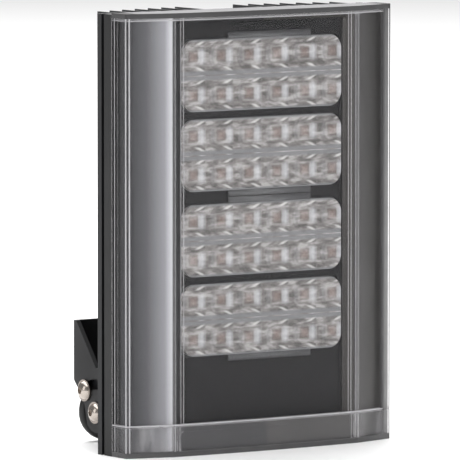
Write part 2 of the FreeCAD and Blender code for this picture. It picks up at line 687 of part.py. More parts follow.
# Cable gland
def hexagon_y(across, x, z, y0, y1):
    corner = across / math.sqrt(3)
    turns = [math.radians(60 * i) for i in range(6)]
    points = [(x + corner * math.cos(t), z + corner * math.sin(t)) for t in turns]
    wire = Part.makePolygon([V(px, y0, pz) for px, pz in points + points[:1]])
    return Part.Face(wire).extrude(V(0, y1 - y0, 0))


GLAND_SEAT = BASE_REAR + 1.0
GLAND_NUT_FRONT = GLAND_SEAT + GLAND_FLANGE
CORD_EXIT = GLAND_NUT_FRONT + GLAND_NUT_LENGTH


def make_gland_body():
    body = hexagon_y(GLAND_FLATS, 0, GLAND_Z, GLAND_SEAT, GLAND_NUT_FRONT)
    thread = rod_y(GLAND_THREAD, 0, GLAND_Z, FRAME_REAR - LOCKNUT - 1, GLAND_SEAT)
    bore = rod_y(CORD_DIAMETER / 2 + 0.5, 0, GLAND_Z, FRAME_REAR - LOCKNUT - 2, GLAND_NUT_FRONT + 1)
    return body.fuse(thread).cut(bore)


def make_gland_seal():
    ring = rod_y(GLAND_THREAD + 2, 0, GLAND_Z, BASE_REAR, GLAND_SEAT)
    return ring.cut(rod_y(GLAND_THREAD + SCREW_CLEARANCE, 0, GLAND_Z, BASE_REAR - 1, GLAND_SEAT + 1))


def make_gland_locknut():
    nut = hexagon_y(GLAND_FLATS, 0, GLAND_Z, FRAME_REAR - LOCKNUT, FRAME_REAR)
    bore = rod_y(GLAND_THREAD + SCREW_CLEARANCE, 0, GLAND_Z, FRAME_REAR - LOCKNUT - 1, FRAME_REAR + 1)
    return nut.cut(bore)


def make_gland_nut():
    grip = hexagon_y(GLAND_FLATS - 1, 0, GLAND_Z, GLAND_NUT_FRONT, GLAND_NUT_FRONT + 8)
    dome = Part.makeCone(9.5, 5, GLAND_NUT_LENGTH - 8, V(0, GLAND_NUT_FRONT + 8, GLAND_Z), V(0, 1, 0))
    bore = rod_y(CORD_DIAMETER / 2, 0, GLAND_Z, GLAND_NUT_FRONT - 1, CORD_EXIT - 2)
    return grip.fuse(dome).cut(bore)


# Cord: out of the gland, round behind the left cheek, down to the floor and back to its coil
def cord_route():
    rest = CORD_DIAMETER / 2 + 0.1
    return [
        V(0, CORD_EXIT, GLAND_Z),
        V(-1, CORD_EXIT + 13, GLAND_Z),
        V(-11, CORD_EXIT + 28, GLAND_Z),
        V(-28, CORD_EXIT + 35, GLAND_Z),
        V(-45, WALL_Y - 6, 39),
        V(-61, WALL_Y - 4, 38),
        V(-71.5, WALL_Y - 1, 27.8),
        V(-71.5, WALL_Y + 0.5, 13.3),
        V(-61, WALL_Y, rest),
        V(-42, WALL_Y + 0.5, rest),
        V(-14, WALL_Y + 6, rest),
        V(20, WALL_Y + 12, rest),
        V(50, WALL_Y + 13, rest),
        V(COIL_X - 2, COIL_Y - COIL_MEAN_RADIUS, rest),
    ]


def make_cord():
    points = cord_route()
    edges = []
    start = points[0]
    for before, corner, after in zip(points, points[1:], points[2:]):
        into, out = corner - before, after - corner
        run = min(into.Length, out.Length)
        into.normalize()
        out.normalize()
        turn = math.acos(max(-1, min(1, into.dot(out))))
        cut = 0.45 * run
        radius = cut / math.tan(turn / 2)
        a, b = corner - into * cut, corner + out * cut
        inward = out - into
        inward.normalize()
        centre = corner + inward * (radius / math.cos(turn / 2))
        mid = centre - inward * radius
        edges += [Part.makeLine(start, a), Part.Arc(a, mid, b).toShape()]
        start = b
    edges.append(Part.makeLine(start, points[-1]))
    path = Part.Wire(edges)
    section = Part.Wire([Part.makeCircle(CORD_DIAMETER / 2, points[0], points[1] - points[0])])
    return path.makePipeShell([section], True, True)


def make_cord_coil():
    low = COIL_MEAN_RADIUS - COIL_WIDTH / 2
    high = COIL_MEAN_RADIUS + COIL_WIDTH / 2
    foot = V(COIL_X, COIL_Y, 0.1)
    coil = Part.makeCylinder(high, COIL_HEIGHT, foot).cut(Part.makeCylinder(low, COIL_HEIGHT, foot))
    return coil.makeFillet(3, [e for e in coil.Edges if len(e.Vertexes) == 1])


def main():
    os.makedirs("parts", exist_ok=True)
    save("front_cover", make_front_cover())
    save("bottom_cover", make_bottom_cover())
    save("cover_seal", make_cover_seal())
    save("housing_frame", make_housing_frame())
    save("heat_sink", make_heat_sink())
    save("frame_screws", pan_screws(frame_screw_places(), BASE_REAR, 12, -1))
    save("bezel", make_bezel())
    save("window_backing", make_window_backing())
    save("lens_sheet", make_lens_sheet())
    for number, z in enumerate(sorted(array_centres(), reverse=True), 1):
        save(f"lens_array_{number}", make_lens_array(z, 1 if number % 2 else -1))
    for name, z in zip(("lower", "upper"), MODULES):
        save(f"led_board_{name}", make_led_board(z))
        save(f"led_chips_{name}", make_led_chips(z))
    save("thermal_pads", make_thermal_pads())
    save("board_screws", pan_screws(board_screw_places(), BOARD_Y, BOARD_SCREW_LENGTH))
    save("driver_board", make_driver_board())
    save("driver_standoffs", make_driver_standoffs())
    save("driver_screws", pan_screws(driver_screw_places(), DRIVER_FRONT, STANDOFF + BOARD_THICK + 2))
    save("driver_inductor", make_driver_inductor())
    save("driver_capacitors", make_driver_capacitors())
    save("terminal_block", make_terminal_block())
    lug = make_tilt_lug()
    save("tilt_lug_right", lug)
    save("tilt_lug_left", mirrored(lug))
    save("lug_screws", make_lug_screws())
    save("pivot_screws", make_tilt_screw(PIVOT_Y, PIVOT_Z))
    save("pivot_washers", make_tilt_washer(PIVOT_Y, PIVOT_Z))
    save("lock_screws", make_tilt_screw(LOCK_Y, LOCK_Z))
    save("lock_washers", make_tilt_washer(LOCK_Y, LOCK_Z))
    save("wall_bracket", make_wall_bracket())
    save("gland_body", make_gland_body())
    save("gland_seal", make_gland_seal())
    save("gland_locknut", make_gland_locknut())
    save("gland_nut", make_gland_nut())
    save("cord", make_cord())
    save("cord_coil", make_cord_coil())


main()
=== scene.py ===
"""Dresses the infrared illuminator: its finishes, lens cells, cord, light and camera."""

import json
import logging
import math
from dataclasses import dataclass
from enum import Enum

import bpy
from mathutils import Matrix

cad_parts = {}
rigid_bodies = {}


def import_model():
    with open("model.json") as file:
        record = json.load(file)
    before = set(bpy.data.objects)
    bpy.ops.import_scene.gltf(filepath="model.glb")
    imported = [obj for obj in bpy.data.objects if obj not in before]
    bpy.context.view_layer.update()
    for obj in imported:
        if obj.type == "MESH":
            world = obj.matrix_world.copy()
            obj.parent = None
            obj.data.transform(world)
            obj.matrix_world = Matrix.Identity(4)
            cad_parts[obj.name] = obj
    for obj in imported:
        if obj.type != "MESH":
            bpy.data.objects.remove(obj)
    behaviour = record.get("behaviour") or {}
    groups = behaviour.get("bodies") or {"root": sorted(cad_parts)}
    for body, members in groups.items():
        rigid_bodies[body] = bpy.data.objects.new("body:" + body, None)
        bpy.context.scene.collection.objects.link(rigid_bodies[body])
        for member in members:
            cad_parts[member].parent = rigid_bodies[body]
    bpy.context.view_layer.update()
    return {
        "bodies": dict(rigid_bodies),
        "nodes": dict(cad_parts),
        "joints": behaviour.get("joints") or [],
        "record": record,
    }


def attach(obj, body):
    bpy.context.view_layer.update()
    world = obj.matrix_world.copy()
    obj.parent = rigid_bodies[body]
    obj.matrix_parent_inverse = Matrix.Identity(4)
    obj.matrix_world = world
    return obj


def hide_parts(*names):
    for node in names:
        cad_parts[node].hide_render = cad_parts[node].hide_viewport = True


LOG = logging.getLogger("illuminator")
Point = tuple[float, float, float]
Span = tuple[float, float]
Tree = bpy.types.NodeTree
Socket = bpy.types.NodeSocket
Value = bpy.types.NodeSocket | float
MM = 0.001

# How far the front's ridge plane lies before the frame's origin, in metres, and the head's sizes in
# millimetres
RIDGE_Y = -50.75 * MM
HEIGHT = 280.0
RIDGE_X = 70.6
FLANK_X = 102.0

# A colour mix node's sockets go by number, because their names repeat for each kind of data
MIX_SHARE, MIX_FIRST, MIX_SECOND, MIX_RESULT = 0, 6, 7, 2

# Where nearly all values of a noise lie, and the noises and bumps that the finishes share
NOISE_SPAN = (0.3, 0.7)
FINE_DETAIL = 4.0
BROAD_SCALE = 24.0
BROAD_DETAIL = 3.0
GRAIN_DEPTH = 0.2 * MM
BRUSH_STRETCH = (1.0, 0.08, 1.0)
GLOSS_SPREAD = 0.07


def shifted(x: float, y: float, z: float) -> Point:
    """Turns millimetres measured from the ridge plane into the frame's metres.

    Args:
        x: to the right of the middle.
        y: behind the ridge plane.
        z: above the floor.

    Returns:
        The point in the row frame.
    """
    return (x * MM, y * MM + RIDGE_Y, z * MM)


def new_material(name: str) -> tuple[bpy.types.Material, Tree, bpy.types.ShaderNode]:
    """Starts a material.

    Args:
        name: its name.

    Returns:
        The material, its nodes and its shader.
    """
    made = bpy.data.materials.new(name)
    made.use_nodes = True
    return made, made.node_tree, made.node_tree.nodes["Principled BSDF"]


def add_noise(tree: Tree, where: Socket, scale: float, detail: float) -> Socket:
    """Adds a noise texture.

    Args:
        tree: the material's nodes.
        where: the coordinates.
        scale: noise cells per metre.
        detail: levels of detail.

    Returns:
        The noise value.
    """
    noise = tree.nodes.new("ShaderNodeTexNoise")
    noise.inputs["Scale"].default_value = scale
    noise.inputs["Detail"].default_value = detail
    tree.links.new(where, noise.inputs["Vector"])
    return noise.outputs["Fac"]


def stretched(tree: Tree, where: Socket, scale: Point, turn: Point = (0.0, 0.0, 0.0)) -> Socket:
    """Stretches and turns coordinates.

    Args:
        tree: the material's nodes.
        where: the coordinates.
        scale: what each axis is multiplied by.
        turn: the turn about each axis, in radians.

    Returns:
        The new coordinates.
    """
    node = tree.nodes.new("ShaderNodeMapping")
    node.inputs["Scale"].default_value = scale
    node.inputs["Rotation"].default_value = turn
    tree.links.new(where, node.inputs["Vector"])
    return node.outputs["Vector"]


def map_range(tree: Tree, value: Socket, source: Span, target: Span) -> Socket:
    """Maps one range of values onto another.

    Args:
        tree: the material's nodes.
        value: what is mapped.
        source: its lowest and highest value.
        target: what those become.

    Returns:
        The mapped value.
    """
    node = tree.nodes.new("ShaderNodeMapRange")
    node.inputs["From Min"].default_value, node.inputs["From Max"].default_value = source
    node.inputs["To Min"].default_value, node.inputs["To Max"].default_value = target
    tree.links.new(value, node.inputs["Value"])
    return node.outputs["Result"]


def ramp(tree: Tree, value: Socket, stops: tuple[tuple[float, Point], ...]) -> Socket:
    """Adds a colour ramp.

    Args:
        tree: the material's nodes.
        value: what runs along the ramp.
        stops: places and colours.

    Returns:
        The ramp's colour.
    """
    node = tree.nodes.new("ShaderNodeValToRGB")
    marks = node.color_ramp.elements
    while len(marks) < len(stops):
        marks.new(0.5)
    for mark, (place, color) in zip(marks, stops):
        mark.position = place
        mark.color = (*color, 1.0)
    tree.links.new(value, node.inputs["Fac"])
    return node.outputs["Color"]


def varied(tree: Tree, noise: Socket, color: Point, spread: float) -> Socket:
    """Varies a colour with a noise.

    Args:
        tree: the material's nodes.
        noise: the noise.
        color: the middle colour.
        spread: half the share of the colour that it varies by, each way.

    Returns:
        The varied colour.
    """
    dark = tuple(c * (1 - 2 * spread) for c in color)
    light = tuple(min(1.0, c * (1 + 2 * spread)) for c in color)
    return ramp(tree, noise, ((NOISE_SPAN[0], dark), (NOISE_SPAN[1], light)))


def add_bump(tree: Tree, height: Socket, strength: float, depth: float, shader: bpy.types.ShaderNode) -> None:
    """Roughens a surface.

    Args:
        tree: the material's nodes.
        height: the noise that lifts it.
        strength: how strongly.
        depth: how deep, in metres.
        shader: the shader that takes the result.
    """
    bump = tree.nodes.new("ShaderNodeBump")
    bump.inputs["Strength"].default_value = strength
    bump.inputs["Distance"].default_value = depth
    tree.links.new(height, bump.inputs["Height"])
    tree.links.new(bump.outputs["Normal"], shader.inputs["Normal"])


class Grain(Enum):
    """How a finish breaks up close to, as noise cells per metre."""

    POWDER = 2600.0
    BRUSHED = 1500.0
    MOULDED = 1300.0


@dataclass(frozen=True)
class Finish:
    """A surface finish with its colour, gloss and fine grain."""

    name: str
    color: Point
    metallic: float
    roughness: float
    spread: float
    grain: Grain
    bump: float = 0.08
    specular: float = 0.5

    def build(self) -> bpy.types.Material:
        """Makes the material.

        Returns:
            The material with colour, roughness and bump from its own noise.
        """
        made, tree, shader = new_material(self.name)
        shader.inputs["Metallic"].default_value = self.metallic
        shader.inputs["Specular IOR Level"].default_value = self.specular
        where = tree.nodes.new("ShaderNodeTexCoord").outputs["Object"]
        if self.grain is Grain.BRUSHED:
            where = stretched(tree, where, BRUSH_STRETCH)
        fine = add_noise(tree, where, self.grain.value, FINE_DETAIL)
        broad = add_noise(tree, where, BROAD_SCALE, BROAD_DETAIL)
        tree.links.new(varied(tree, fine, self.color, self.spread), shader.inputs["Base Color"])
        gloss = (self.roughness - GLOSS_SPREAD, self.roughness + GLOSS_SPREAD)
        tree.links.new(map_range(tree, broad, NOISE_SPAN, gloss), shader.inputs["Roughness"])
        add_bump(tree, fine, self.bump, GRAIN_DEPTH, shader)
        return made


FINISHES = {finish.name: finish for finish in (
    Finish("black_case", (0.008, 0.008, 0.0085), 0.0, 0.45, 0.1, Grain.MOULDED, 0.08, 0.35),
    Finish("black_anodised", (0.013, 0.0135, 0.015), 0.2, 0.45, 0.12, Grain.POWDER, 0.12, 0.4),
    Finish("black_powder", (0.011, 0.011, 0.012), 0.0, 0.5, 0.14, Grain.POWDER, 0.25, 0.35),
    Finish("black_panel", (0.006, 0.006, 0.0065), 0.0, 0.6, 0.08, Grain.MOULDED, 0.04, 0.1),
    Finish("black_nylon", (0.02, 0.02, 0.02), 0.0, 0.5, 0.08, Grain.MOULDED),
    Finish("stainless", (0.46, 0.41, 0.37), 1.0, 0.2, 0.05, Grain.BRUSHED, 0.05),
    Finish("washer_steel", (0.3, 0.265, 0.24), 1.0, 0.28, 0.05, Grain.BRUSHED, 0.05),
    Finish("seal_rubber", (0.02, 0.02, 0.02), 0.0, 0.7, 0.1, Grain.MOULDED),
    Finish("grey_board", (0.03, 0.031, 0.033), 0.0, 0.5, 0.06, Grain.MOULDED),
    Finish("thermal_pad", (0.5, 0.5, 0.52), 0.0, 0.7, 0.06, Grain.MOULDED),
    Finish("circuit_board", (0.02, 0.16, 0.06), 0.0, 0.4, 0.08, Grain.MOULDED),
    Finish("copper_coil", (0.6, 0.26, 0.12), 0.9, 0.3, 0.1, Grain.BRUSHED),
    Finish("capacitor_can", (0.4, 0.4, 0.42), 0.9, 0.3, 0.05, Grain.BRUSHED),
    Finish("terminal_green", (0.03, 0.25, 0.08), 0.0, 0.45, 0.06, Grain.MOULDED),
    Finish("led_chip", (0.42, 0.2, 0.17), 0.0, 0.35, 0.2, Grain.MOULDED),
    Finish("cord_rubber", (0.012, 0.012, 0.0125), 0.0, 0.42, 0.1, Grain.MOULDED, 0.05, 0.4),
    Finish("tie_nylon", (0.02, 0.02, 0.02), 0.0, 0.4, 0.08, Grain.MOULDED),
    Finish("copper_tail", (0.45, 0.3, 0.18), 0.3, 0.4, 0.1, Grain.BRUSHED),
)}


class ShaderMath:
    """Short calls for arithmetic inside one material."""

    def __init__(self, tree: Tree) -> None:
        """Keeps the material's nodes.

        Args:
            tree: the material's nodes.
        """
        self.tree = tree

    def put(self, value: Value | Point, socket: Socket) -> None:
        """Links a socket to another, or sets it.

        Args:
            value: a socket, a number or a colour.
            socket: what takes it.
        """
        if isinstance(value, bpy.types.NodeSocket):
            self.tree.links.new(value, socket)
        else:
            socket.default_value = (*value, 1.0) if isinstance(value, tuple) else value

    def do(self, operation: str, first: Value, second: Value = 0.0) -> Socket:
        """Adds one sum.

        Args:
            operation: the kind of sum.
            first: a socket or number.
            second: a socket or number.

        Returns:
            The result.
        """
        node = self.tree.nodes.new("ShaderNodeMath")
        node.operation = operation
        self.put(first, node.inputs[0])
        self.put(second, node.inputs[1])
        return node.outputs["Value"]

    def times(self, first: Value, second: Value) -> Socket:
        """Multiplies two values."""
        return self.do("MULTIPLY", first, second)

    def less(self, first: Value, second: Value) -> Socket:
        """Takes the second value from the first."""
        return self.do("SUBTRACT", first, second)

    def size(self, value: Value) -> Socket:
        """Drops a value's sign."""
        return self.do("ABSOLUTE", value)

    def above(self, value: Value, limit: float) -> Socket:
        """Is 1 where the value is over a limit."""
        return self.do("GREATER_THAN", value, limit)

    def below(self, value: Value, limit: float) -> Socket:
        """Is 1 where the value is under a limit."""
        return self.do("LESS_THAN", value, limit)

    def most(self, first: Value, *others: Value) -> Value:
        """Gives the largest of some values.

        Args:
            first: a socket or number.
            others: more of them.

        Returns:
            The largest.
        """
        for other in others:
            first = self.do("MAXIMUM", first, other)
        return first

    def axes(self, vector: Socket) -> tuple[Socket, Socket, Socket]:
        """Splits a vector.

        Args:
            vector: the vector.

        Returns:
            Its three parts.
        """
        split = self.tree.nodes.new("ShaderNodeSeparateXYZ")
        self.tree.links.new(vector, split.inputs["Vector"])
        return split.outputs["X"], split.outputs["Y"], split.outputs["Z"]

    def mix(self, share: Value, first: Socket | Point, second: Socket | Point, kind: str = "MIX") -> Socket:
        """Lays one colour over another.

        Args:
            share: how much of the second shows.
            first: the lower colour.
            second: the upper colour.
            kind: how they are mixed.

        Returns:
            The mixed colour.
        """
        node = self.tree.nodes.new("ShaderNodeMix")
        node.data_type = "RGBA"
        node.blend_type = kind
        for place, value in ((MIX_SHARE, share), (MIX_FIRST, first), (MIX_SECOND, second)):
            self.put(value, node.inputs[place])
        return node.outputs[MIX_RESULT]

    def line(self, value: Socket, centre: float, half: float, soft: float) -> Socket:
        """Is 1 near a value and falls to 0 beside it.

        Args:
            value: the coordinate.
            centre: where the line lies.
            half: half its width.
            soft: how far its edge fades.

        Returns:
            The line's strength.
        """
        return map_range(self.tree, self.size(self.less(value, centre)), (half, half + soft), (1.0, 0.0))


@dataclass(frozen=True)
class HighlightLine:
    """A painted highlight line on clear plastic: its place and half its width in millimetres, and its
    strength.
    """

    place: float
    half: float
    strength: float


@dataclass(frozen=True)
class ShadedEdge:
    """How much a painted shade edge of clear plastic hides of what is behind it, and how dark the painted
    shade is.
    """

    cover: float
    dark: float


# Painted shade: a face seen along its surface, the dark bands at the rim, foot and far flank, and the dark
# line around the far flank
GRAZED_SHADE = ShadedEdge(0.85, 0.97)
BAND_SHADE = ShadedEdge(0.92, 0.92)
OUTLINE_SHADE = ShadedEdge(0.98, 0.99)

# What a level face hides under its pale painted reflection, and when a face counts as lying square to an
# axis, as grazed or as turned away
LEVEL_REFLECTION = 0.75
SQUARE = 0.8
GRAZING = 0.8
TURNED = 0.25
LINE_FADE = 0.35

# The painted glare streaks at the lower cover's ends
GLARE_STRETCH = (1.0, 0.3, 0.22)
GLARE_SCALE = 150.0
GLARE_SPAN = (0.5, 0.72)


@dataclass(frozen=True)
class ClearMoulding:
    """Clear plastic with painted highlight lines along its edges and ridges, painted shade along its edges
    and a pale painted reflection on level faces.

    Its places are in millimetres: across from the middle, deep from the ridge plane and up from the floor.
    """

    name: str
    haze: float
    across: tuple[HighlightLine, ...] = ()
    deep: tuple[HighlightLine, ...] = ()
    up: tuple[HighlightLine, ...] = ()
    rim_from: float = 400.0
    rim: float = 0.0
    glare: float = 0.0
    glare_from: float = 66.0
    side_haze: float = 0.02
    side_from: float = FLANK_X - 0.5
    band_from: float = 94.5
    outline_from: float = 100.4
    top_from: float = HEIGHT - 3.1
    foot_to: float = 3.4
    bright: float = 0.3
    roughness: float = 0.08
    index: float = 1.5
    color: Point = (0.62, 0.61, 0.63)
    shadow: Point = (0.01, 0.01, 0.01)
    cloud_scale: float = 60.0
    cloud_spread: float = 0.04

    def build(self) -> bpy.types.Material:
        """Makes the material, whose cover rises at ridges and edges with painted highlights and painted
        shade.

        Returns:
            The material.
        """
        made, tree, shader = new_material(self.name)
        calc = ShaderMath(tree)
        shader.inputs["Roughness"].default_value = self.roughness
        shader.inputs["IOR"].default_value = self.index
        coordinates = tree.nodes.new("ShaderNodeTexCoord")
        where = coordinates.outputs["Object"]
        normal_x, _, normal_z = calc.axes(coordinates.outputs["Normal"])
        facing = tree.nodes.new("ShaderNodeLayerWeight")
        facing.inputs["Blend"].default_value = 0.5
        turn = facing.outputs["Facing"]
        x, y, z = calc.axes(where)
        x = calc.size(x)

        # Masks for the painted shade: grazed upright faces, the bands at the far flank, rim and foot, and the
        # far flank's outline
        level = calc.above(calc.size(normal_z), SQUARE)
        upright = calc.less(1.0, level)
        grazed = calc.times(calc.above(turn, GRAZING), upright)
        flank = calc.times(calc.below(calc.size(normal_x), SQUARE), calc.above(turn, TURNED))
        dim = calc.below(self.lines(calc, x, self.across, 0.0, 0.0), self.bright)
        band = calc.times(flank, calc.times(calc.above(x, self.band_from * MM), dim))
        outline = calc.times(flank, calc.above(x, self.outline_from * MM))
        ends = calc.most(calc.above(z, self.top_from * MM), calc.below(z, self.foot_to * MM))
        band = calc.most(band, calc.times(ends, upright))

        # Level faces show a pale painted reflection; the masks then darken the cover as painted shade
        cover = calc.most(self.thickness(calc, where, x, y, z), calc.times(level, LEVEL_REFLECTION))
        dark = 0.0
        for mask, edge in ((grazed, GRAZED_SHADE), (band, BAND_SHADE), (outline, OUTLINE_SHADE)):
            cover = calc.most(cover, calc.times(mask, edge.cover))
            dark = calc.most(dark, calc.times(mask, edge.dark))
        tree.links.new(calc.do("MINIMUM", cover, 1.0), shader.inputs["Alpha"])
        cloud = add_noise(tree, where, self.cloud_scale, BROAD_DETAIL)
        pale = varied(tree, cloud, self.color, self.cloud_spread)
        tree.links.new(calc.mix(calc.less(1.0, dark), self.shadow, pale), shader.inputs["Base Color"])
        return made

    def thickness(self, calc: ShaderMath, where: Socket, x: Socket, y: Socket, z: Socket) -> Value:
        """Gives the cover's own haze, the lighter band along its top, the painted highlight lines and the
        painted glare.

        Args:
            calc: the material's arithmetic.
            where: the coordinates.
            x: distance from the middle.
            y: the coordinate behind the ridge plane.
            z: the coordinate above the floor.

        Returns:
            What the cover hides.
        """
        front = self.lines(calc, x, self.across, 0.0, self.haze)
        # Painted glare: pale upright streaks raised towards the ends of the bottom cover
        if self.glare:
            front = calc.do("ADD", front, self.glare_streaks(calc, where, x))
        side = self.lines(calc, y, self.deep, RIDGE_Y, self.haze + self.side_haze)
        on_side = calc.above(x, self.side_from * MM)
        body = calc.do("ADD", calc.times(side, on_side), calc.times(front, calc.less(1.0, on_side)))
        body = calc.most(body, calc.times(calc.above(z, self.rim_from * MM), self.rim))
        return self.lines(calc, z, self.up, 0.0, body)

    def lines(
        self, calc: ShaderMath, value: Socket, marks: tuple[HighlightLine, ...], shift: float, body: Value,
    ) -> Value:
        """Adds thin painted highlight lines across one coordinate.

        Args:
            calc: the material's arithmetic.
            value: the coordinate.
            marks: the lines.
            shift: what is added to each line's place, in metres.
            body: the cover so far.

        Returns:
            The cover with the lines.
        """
        for mark in marks:
            seen = calc.line(value, mark.place * MM + shift, mark.half * MM, LINE_FADE * MM)
            body = calc.most(body, calc.times(seen, mark.strength))
        return body

    def glare_streaks(self, calc: ShaderMath, where: Socket, x: Socket) -> Socket:
        """Gives the upright painted glare streaks at the moulding's ends.

        Args:
            calc: the material's arithmetic.
            where: the coordinates.
            x: distance from the middle.

        Returns:
            Their strength.
        """
        where = stretched(calc.tree, where, GLARE_STRETCH)
        noise = add_noise(calc.tree, where, GLARE_SCALE, BROAD_DETAIL)
        seen = map_range(calc.tree, noise, GLARE_SPAN, (0.0, 1.0))
        return calc.times(calc.times(seen, calc.above(x, self.glare_from * MM)), self.glare)


# The lines on the clear covers are painted highlights, bright where their edges, ridges and joints catch the
# light
SIDE_HIGHLIGHTS = (HighlightLine(24.7, 0.25, 0.35), HighlightLine(21.6, 0.35, 0.5), HighlightLine(18.2, 0.2, 0.2), HighlightLine(9.3, 0.35, 0.6))
FRONT_COVER = ClearMoulding(
    "clear_front_cover", 0.006,
    across=(HighlightLine(64.6, 0.2, 0.4), HighlightLine(RIDGE_X, 0.25, 0.3), HighlightLine(99.9, 0.3, 0.6)),
    deep=SIDE_HIGHLIGHTS,
    up=(HighlightLine(HEIGHT - 4.6, 0.15, 0.4), HighlightLine(20.0, 0.2, 0.6), HighlightLine(HEIGHT - 0.1, 0.1, 0.9)),
    rim_from=HEIGHT - 4.6, rim=0.16,
)
# The bottom cover also carries painted glare streaks at its ends
BOTTOM_COVER = ClearMoulding(
    "clear_bottom_cover", 0.06,
    across=(HighlightLine(67.2, 0.25, 0.35), HighlightLine(RIDGE_X, 0.4, 0.45), HighlightLine(99.9, 0.3, 0.55)),
    deep=SIDE_HIGHLIGHTS,
    up=(HighlightLine(19.2, 0.2, 0.5), HighlightLine(0.3, 0.3, 0.3)),
    glare=0.22,
)
LENS_SHEET = ClearMoulding("ribbed_sheet", 0.02)


@dataclass(frozen=True)
class SatinBezel:
    """The metallic grey bezel, with a painted reflection that lightens its flanks towards the window's ridges
    and painted shade on its right flank.

    Its places are in millimetres from the middle, and its stops are shares of the run from there.
    """

    name: str = "satin_bezel"
    metallic: float = 0.65
    run_from: float = 60.0
    run_length: float = 45.0
    # The stops paint the flanks' reflection: dark on the bevel, a painted highlight at the ridge, fading
    # darker outward
    stops: tuple[tuple[float, Point], ...] = (
        (0.0, (0.03, 0.03, 0.032)), (0.21, (0.07, 0.07, 0.073)), (0.24, (0.54, 0.54, 0.57)),
        (0.34, (0.26, 0.26, 0.278)), (0.6, (0.095, 0.095, 0.102)), (0.9, (0.045, 0.045, 0.049)),
    )
    # Painted shade: the right flank is mostly given a dark colour
    right_shade_share: float = 0.8
    right_shade_color: Point = (0.062, 0.058, 0.055)
    flake_scale: float = 3200.0
    flake_dark: float = 0.8
    gloss: Span = (0.3, 0.42)
    bump: float = 0.12

    def build(self) -> bpy.types.Material:
        """Makes the material.

        Returns:
            The material.
        """
        made, tree, shader = new_material(self.name)
        calc = ShaderMath(tree)
        shader.inputs["Metallic"].default_value = self.metallic
        where = tree.nodes.new("ShaderNodeTexCoord").outputs["Object"]
        x, _, _ = calc.axes(where)
        run = calc.do("DIVIDE", calc.less(calc.size(x), self.run_from * MM), self.run_length * MM)
        # Painted reflection along the flanks, with painted shade over the right flank
        on_right = calc.times(calc.above(x, 0.0), self.right_shade_share)
        shade = calc.mix(on_right, ramp(tree, run, self.stops), self.right_shade_color)
        fine = add_noise(tree, where, self.flake_scale, FINE_DETAIL)
        flakes = ramp(tree, fine, ((NOISE_SPAN[0], (self.flake_dark,) * 3), (NOISE_SPAN[1], (1.0,) * 3)))
        tree.links.new(calc.mix(1.0, shade, flakes, "MULTIPLY"), shader.inputs["Base Color"])
        broad = add_noise(tree, where, BROAD_SCALE, BROAD_DETAIL)
        tree.links.new(map_range(tree, broad, NOISE_SPAN, self.gloss), shader.inputs["Roughness"])
        add_bump(tree, fine, self.bump, GRAIN_DEPTH, shader)
        return made


@dataclass(frozen=True)
class Tint:
    """A colour laid over the lenses: its share, and its line's place, half width and fade in millimetres."""

    color: Point
    share: float
    place: float
    half: float
    fade: float


# What shows in each lens cell, from below to above: painted reflection strokes, light and dark, from the
# horn's flat sides, the emitter's pale package, pinkish chip and dark border, painted glints on both sides,
# the moulded ledge between rows, and the tab
BRIGHT_STROKE_REFLECTION = Tint((0.72, 0.71, 0.7), 0.7, 0.0, 0.3, 2.4)
DARK_STROKE_REFLECTION = Tint((0.07, 0.065, 0.063), 0.6, 3.4, 0.7, 1.8)
FAR_STROKE_REFLECTION = Tint((0.09, 0.085, 0.082), 0.45, -8.6, 0.5, 2.2)
PACKAGE = Tint((0.5, 0.48, 0.47), 0.25, 4.4, 0.3, 0.9)
CHIP = Tint((0.27, 0.185, 0.16), 0.5, 0.0, 1.6, 2.4)
CHIP_BORDER = Tint((0.12, 0.095, 0.09), 0.22, 3.0, 0.2, 0.8)
RIGHT_GLINT = Tint((0.68, 0.69, 0.73), 0.6, 6.2, 0.3, 3.0)
LEFT_GLINT = Tint((0.3, 0.3, 0.31), 0.4, -6.6, 0.3, 2.0)
LEDGE = Tint((0.19, 0.193, 0.203), 0.9, 12.2, 2.3, 1.1)
TAB = Tint((0.085, 0.086, 0.09), 1.0, 30.0, 9.0, 1.0)
STREAKS = ((0.34, (0.09, 0.083, 0.08)), (0.5, (0.2, 0.187, 0.182)), (0.66, (0.4, 0.385, 0.38)))


